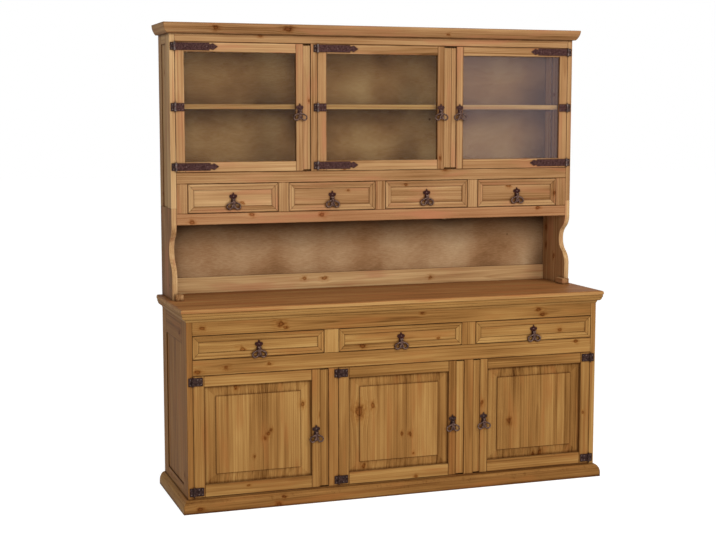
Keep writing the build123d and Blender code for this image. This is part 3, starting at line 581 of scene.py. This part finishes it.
# clear glass that mirrors only on its outer faces, under a film of dust which also serves as a painted
# reflection haze
def glassMaterial(name, dustAndHazeShare):
    material, tree = emptyMaterial(name)
    clear = addNode(tree, "BsdfTransparent", {"Color": glassLook["tint"]}).outputs[0]
    dustAndHazeFilm = addNode(tree, "BsdfDiffuse", {"Color": glassLook["dustAndHazeFilm"]}).outputs[0]
    hazy = addNode(tree, "MixShader", {0: dustAndHazeShare, 1: clear, 2: dustAndHazeFilm}).outputs[0]
    shine = {"Color": glassLook["shine"], "Roughness": glassLook["roughness"]}
    shine = addNode(tree, "BsdfGlossy", shine).outputs[0]
    fresnel = addNode(tree, "Fresnel", {"IOR": glassLook["refraction"]}).outputs[0]
    outside = calc(tree, "SUBTRACT", 1.0, addNode(tree, "NewGeometry").outputs["Backfacing"])
    mirror = calc(tree, "MULTIPLY", fresnel, outside)
    pane = addNode(tree, "MixShader", {0: mirror, 1: hazy, 2: shine}).outputs[0]
    addNode(tree, "OutputMaterial", {0: pane})
    return material


glasses = {place: glassMaterial(place + "WindowGlass", dustAndHazeShare) for place, dustAndHazeShare in glassLook["dustAndHazeShare"].items()}
print("iron and glass ready")

# how the solids' edges are found, merged and rounded, in metres and radians
edges = {
    "woodRound": 0.0011, "ironRound": 0.0006, "segments": 2, "profile": 0.5, "sharpOver": math.radians(24),
    "flatUnder": math.radians(0.5), "mergeWithin": 2e-6, "matchSteps": 1e5, "faceWeight": 100,
}


# the vertices of one solid, always in the same order
def vertsOf(bm, mark, number):
    return list(dict.fromkeys(vert for face in bm.faces if face[mark] == number for vert in face.verts))


# a copy of the node's mesh, in which each closed solid is merged by itself and marked with its number
def copyOfSolids(node):
    bm = bmesh.new()
    bm.from_mesh(frame["nodes"][node].data)
    mark = bm.faces.layers.int.new("solid")
    count, openEdges = 0, set()
    for face in bm.faces:
        face[mark] = count
        corners = [tuple(round(c * edges["matchSteps"]) for c in vert.co) for vert in face.verts]
        for edge in zip(corners, corners[1:] + corners[:1]):
            openEdges.symmetric_difference_update({edge[::-1]} if edge[::-1] in openEdges else {edge})
        if not openEdges:
            count += 1
    for number in range(count):
        bmesh.ops.remove_doubles(bm, verts=vertsOf(bm, mark, number), dist=edges["mergeWithin"])
    bmesh.ops.dissolve_limit(bm, angle_limit=edges["flatUnder"], verts=bm.verts, edges=bm.edges)
    return bm, mark, count


def roundEdges(bm, width):
    sharp = [edge for edge in bm.edges if edge.is_manifold and edge.calc_face_angle() > edges["sharpOver"]]
    bmesh.ops.bevel(
        bm, geom=sharp, offset=width, offset_type="OFFSET", affect="EDGES", segments=edges["segments"],
        profile=edges["profile"], material=-1, clamp_overlap=True,
    )


# turns the finished mesh into a piece that rides and stands for its node
def finishPiece(bm, name, node, materials):
    mesh = bpy.data.meshes.new(name)
    bm.to_mesh(mesh)
    bm.free()
    for leftover in ("custom_normal", "sharp_edge", "sharp_face"):
        if leftover in mesh.attributes:
            mesh.attributes.remove(mesh.attributes[leftover])
    mesh.shade_smooth()
    mesh.set_sharp_from_angle(angle=edges["sharpOver"])
    for material in materials:
        mesh.materials.append(material)
    piece = bpy.data.objects.new(name, mesh)
    scene.collection.objects.link(piece)
    flatFaces = piece.modifiers.new("flatFaces", "WEIGHTED_NORMAL")
    flatFaces.weight = edges["faceWeight"]
    flatFaces.keep_sharp = True
    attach(piece, bodyOf[node])
    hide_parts(node)


# what the mesh of a board tells its material, and what chance gives a board that isn't told
attributeNames = ("grain", "tone", "fibre", "flat", "half", "field", "care", *knotFigure["names"])
boardChance = {
    "light": 0.08, "warm": 0.12, "seed": 9,
    "knotMost": 0.5, "knotArea": 0.1, "knotAlong": 0.45, "knotAcross": 0.4, "knotRadius": (0.003, 0.007),
}
raisedField = {"frontWithin": 0.0001, "paintedCornerShade": 0.3}
farAway = 9.0  # beyond every board
noKnot = (0, farAway, 0)


# the axes of a board's length, width and thickness
def boardAxes(size, upright):
    thin = min(range(3), key=lambda axis: size[axis])
    long = 2 if upright else max(range(3), key=lambda axis: size[axis])
    return long, 3 - thin - long, thin


def unitAlong(axis):
    return Vector([1.0 if other == axis else 0.0 for other in range(3)])


# the knots that a board is told, or now and then one by chance, and the rest out of sight
def boardKnots(told, middle, size, axes, chance):
    long, wide, thin = axes
    knots = []
    for across, up, radius in told:
        place = Vector((across, middle.y if thin == 1 else across, up))
        knots.append((place[long] - middle[long], place[wide] - middle[wide], radius))
    likely = min(boardChance["knotMost"], size[long] * size[wide] / boardChance["knotArea"])
    if not knots and chance.random() < likely:
        along = chance.uniform(-boardChance["knotAlong"], boardChance["knotAlong"]) * size[long]
        across = chance.uniform(-boardChance["knotAcross"], boardChance["knotAcross"]) * size[wide]
        knots.append((along, across, chance.uniform(*boardChance["knotRadius"])))
    return knots + [(farAway, farAway, 0)] * len(knotFigure["names"])


# the half length and width of a raised panel's flat field, and how thinly painted corner shade lies on it
def fieldOf(own, verts, low, middle, axes):
    long, wide, thin = axes
    if not own.get("raised"):
        return (farAway, farAway, 1)
    front = [vert.co - middle for vert in verts if vert.co[thin] < low[thin] + raisedField["frontWithin"]]
    fieldLong, fieldWide = [max(offset[axis] for offset in front) for axis in (long, wide)]
    return (fieldLong, fieldWide, raisedField["paintedCornerShade"])


def markBoard(verts, layers, own, chance):
    low = Vector([min(vert.co[axis] for vert in verts) for axis in range(3)])
    high = Vector([max(vert.co[axis] for vert in verts) for axis in range(3)])
    middle, size = (low + high) / 2, high - low
    axes = boardAxes(size, own.get("upright"))
    long, wide, thin = axes
    lightness = own.get("light", chance.uniform(-boardChance["light"], boardChance["light"]))
    warmth = own.get("warm", chance.uniform(0.0, boardChance["warm"]))
    seed = chance.uniform(0, boardChance["seed"])
    knots = boardKnots(own.get("knots", []), middle, size, axes, chance)
    values = {
        "tone": (lightness, warmth, seed),
        "fibre": unitAlong(long),
        "flat": unitAlong(thin),
        "half": Vector((size[long], size[wide], size[thin])) / 2,
        "field": fieldOf(own, verts, low, middle, axes),
        "care": (own.get("plank", farAway), own.get("stainAndShade", 1.0), own.get("edgeHighlight", 0.0)),
        **dict(zip(knotFigure["names"], knots)),
    }
    for vert in verts:
        offset = vert.co - middle
        vert[layers["grain"]] = (offset[long], offset[wide], offset[thin])
        for name, value in values.items():
            vert[layers[name]] = value


# boards says, by the solid's number: its wood, how light and warm it is, its share of stain and painted
# shade, how much a painted highlight lightens its edges, the width of its glued planks, whether its grain
# stands upright and its field is raised, and its knots as place across, height and radius in metres
def woodPiece(node, wood, boards=None):
    bm, mark, count = copyOfSolids(node)
    roundEdges(bm, edges["woodRound"])
    layers = {name: bm.verts.layers.float_vector.new(name) for name in attributeNames}
    chance = random.Random(node)
    usedWoods = [wood]
    for number in range(count):
        own = (boards or {}).get(number, {})
        markBoard(vertsOf(bm, mark, number), layers, own, chance)
        ownWood = own.get("wood", wood)
        if ownWood not in usedWoods:
            usedWoods.append(ownWood)
        for face in bm.faces:
            if face[mark] == number:
                face.material_index = usedWoods.index(ownWood)
    finishPiece(bm, node + "_wood", node, [woods[name] for name in usedWoods])


doorPlaces = ("left", "middle", "right")
hutchStrip = {"stainAndShade": 0.25, "light": 0.06}
hutchBoards = {
    "cornice": {
        0: {"light": -0.20, "knots": [(-0.735, 1.979, 0.006), (-0.425, 1.980, 0.008), (0.31, 1.97, 0.004)]},
    },
    "hutch_front_frame": {
        0: {"light": 0.02, "warm": 0.45, "knots": [
            (-0.582, 1.199, 0.005), (-0.840, 1.171, 0.005), (-0.266, 1.191, 0.006), (0.766, 1.200, 0.005)]},
        1: {"light": -0.12, "knots": [(0.306, 1.377, 0.006)]},
        2: {"light": 0.0, "knots": [(-0.539, 1.951, 0.004)]},
    },
    "hutch_side_left": {
        0: {"light": 0.18},
        1: {"knots": [(0.202, 1.236, 0.006), (0.206, 1.283, 0.004)]},
        2: {"light": 0.18},
        3: {"upright": True, "light": -0.14, "stainAndShade": 0.4, "edgeHighlight": 0.5},
        4: {"upright": True, "light": 0.20},
    },
    "hutch_side_right": {
        3: {"upright": True, "stainAndShade": 0.4, "edgeHighlight": 0.25, "knots": [
            (0.224, 1.094, 0.007), (0.140, 0.963, 0.006), (0.220, 1.006, 0.005)]},
        4: {"upright": True},
    },
    "hutch_drawer_1": {
        0: {"light": 0.05, "knots": [(-0.622, 1.252, 0.004), (-0.617, 1.247, 0.003)]},
        3: {"knots": [(-0.640, 1.285, 0.005)]},
    },
    "hutch_drawer_3": {3: {"knots": [(0.120, 1.315, 0.004)]}},
    "hutch_drawer_4": {3: {"knots": [(0.384, 1.308, 0.005)]}},
    # this shelf board is painted lighter, a painted light inside the glazed case, and takes no stain or
    # painted shade
    "hutch_shelves": {1: {"stainAndShade": 0.0, "light": 0.24, "warm": 0.14}},
    "glass_door_left": {0: {"light": 0.08}, 8: hutchStrip},
    "glass_door_middle": {8: hutchStrip},
    "glass_door_right": {2: {"knots": [(0.694, 1.431, 0.005)]}, 8: hutchStrip},
}
hutchNodes = ["cornice", "hutch_front_frame", "hutch_side_left", "hutch_side_right", "hutch_shelves"]
hutchNodes += [f"hutch_drawer_{number}" for number in (1, 2, 3, 4)]
hutchNodes += [f"glass_door_{place}" for place in doorPlaces]
for node in hutchNodes:
    woodPiece(node, "hutchPine", hutchBoards.get(node))
print("hutch dressed")

baseStrip = {"stainAndShade": 0.25, "light": 0.05}
raisedPanel = {"upright": True, "raised": True, "stainAndShade": 0.75}
baseBoards = {
    "plinth": {
        0: {"light": -0.1, "knots": [(-0.550, 0.010, 0.006), (-0.884, 0.018, 0.006), (-0.527, 0.039, 0.004)]},
    },
    "base_front_frame": {
        0: {"light": -0.08},
        1: {"light": 0.02, "knots": [
            (-0.763, 0.596, 0.005), (-0.582, 0.601, 0.004), (-0.884, 0.583, 0.006), (0.831, 0.619, 0.005)]},
        2: {"light": -0.02, "knots": [
            (-0.533, 0.763, 0.008), (-0.514, 0.750, 0.005), (-0.863, 0.761, 0.005), (0.644, 0.768, 0.006),
            (0.666, 0.749, 0.006), (0.097, 0.780, 0.004)]},
        5: {"light": -0.12, "warm": 0.25},
        6: {"light": -0.10, "warm": 0.15},
    },
    "base_side_left": {
        **{number: {"light": -0.13, "warm": 0.25} for number in range(4)},
        4: {"upright": True, "plank": 0.09, "light": -0.13, "warm": 0.25},
    },
    "base_side_right": {4: {"upright": True, "plank": 0.11}},
    "base_drawer_left": {number: {"light": 0.08, "warm": 0.0} for number in range(5)},
    "base_drawer_middle": {number: {"light": 0.08, "warm": 0.0} for number in range(5)},
    "base_drawer_right": {number: {"light": 0.04} for number in range(5)},
    "base_door_left": {0: {"light": -0.06}, 1: {"knots": [(-0.358, 0.371, 0.005)]}, 4: baseStrip},
    "base_door_middle": {2: {"knots": [(0.070, 0.070, 0.004)]}, 4: baseStrip},
    "base_door_right": {0: {"knots": [(0.376, 0.372, 0.005)]}, 4: baseStrip},
    "base_door_left_panel": {0: {**raisedPanel, "plank": 0.085, "light": -0.01, "knots": [
        (-0.722, 0.510, 0.006), (-0.438, 0.418, 0.006), (-0.601, 0.290, 0.004), (-0.588, 0.306, 0.005),
        (-0.576, 0.322, 0.004), (-0.647, 0.214, 0.003)]}},
    "base_door_middle_panel": {0: {**raisedPanel, "plank": 0.115, "light": -0.03, "knots": [
        (-0.188, 0.372, 0.013), (0.005, 0.261, 0.004), (0.042, 0.258, 0.005), (-0.127, 0.393, 0.006),
        (-0.168, 0.135, 0.006), (0.059, 0.172, 0.003)]}},
    "base_door_right_panel": {0: {**raisedPanel, "plank": 0.10, "light": -0.08, "knots": [
        (0.509, 0.282, 0.007), (0.630, 0.118, 0.005), (0.664, 0.126, 0.006), (0.714, 0.101, 0.004)]}},
}
baseNodes = ["plinth", "base_side_left", "base_side_right", "base_front_frame", "base_interior"]
for place in doorPlaces:
    baseNodes += [f"base_drawer_{place}", f"base_door_{place}", f"base_door_{place}_panel"]
for node in baseNodes:
    woodPiece(node, "basePine", baseBoards.get(node))

tableBoards = {
    0: {"plank": 0.12, "stainAndShade": 0.3, "edgeHighlight": 0.32, "knots": [noKnot]},
    **{number: {"wood": "basePine"} for number in (1, 2, 3)},
}
backBoards = {
    1: {"wood": "hutchPine", "light": 0.22, "stainAndShade": 0.4, "knots": [
        (-0.284, 0.890, 0.005), (-0.190, 0.887, 0.006), (0.326, 0.872, 0.005)]},
}
woodPiece("tabletop", "tablePine", tableBoards)
woodPiece("base_back", "cloudedPlywood")
woodPiece("hutch_back", "cloudedPlywood", backBoards)
print("base, tabletop and backs dressed")

# how far the iron is rubbed bare, with a painted highlight added on the barrels and the pulls: the hinges'
# nails, leaves and barrels, more so in the hutch, and the pulls
ironWearAndHighlight = {
    "nail": 0.30, "nailUnder": 0.008, "plain": 0.06, "barrelOut": 0.0062,
    "barrel": 0.4, "lowBarrel": 0.08, "lowUnder": 1.0, "pull": 0.5, "pullCurve": 3,
}


def ironPiece(node, look):
    bm, mark, count = copyOfSolids(node)
    roundEdges(bm, edges["ironRound"])
    wearAndHighlight = bm.verts.layers.float.new("wearAndHighlight")
    for number in range(count):
        verts = vertsOf(bm, mark, number)
        heights = [vert.co.z for vert in verts]
        depths = [vert.co.y for vert in verts]
        isNail = max(heights) - min(heights) < ironWearAndHighlight["nailUnder"]
        barrel = ironWearAndHighlight["barrel" if min(heights) > ironWearAndHighlight["lowUnder"] else "lowBarrel"]
        back, reach = max(depths), max(depths) - min(depths)
        for vert in verts:
            out = back - vert.co.y
            # the pulls' front-most parts and the barrels take a painted highlight along with their wear
            if look == "pullIron":
                vert[wearAndHighlight] = ironWearAndHighlight["pull"] * (out / reach) ** ironWearAndHighlight["pullCurve"]
            elif isNail:
                vert[wearAndHighlight] = ironWearAndHighlight["nail"]
            else:
                vert[wearAndHighlight] = barrel if out > ironWearAndHighlight["barrelOut"] else ironWearAndHighlight["plain"]
    finishPiece(bm, node + "_forged", node, [irons[look]])


def dressPane(node):
    place = next(place for place in glasses if place in node)
    frame["nodes"][node].data.materials.clear()
    frame["nodes"][node].data.materials.append(glasses[place])


for node in frame["nodes"]:
    if node == "frame_hinge_leaves":
        ironPiece(node, "blackIron")
    elif node.endswith("_iron"):
        ironPiece(node, "blackIron" if node.startswith("base") else "rustIron")
    elif node.endswith(("_pull", "_drop")):
        ironPiece(node, "pullIron")
    elif node.endswith("_pane"):
        dressPane(node)
print("iron and panes dressed")
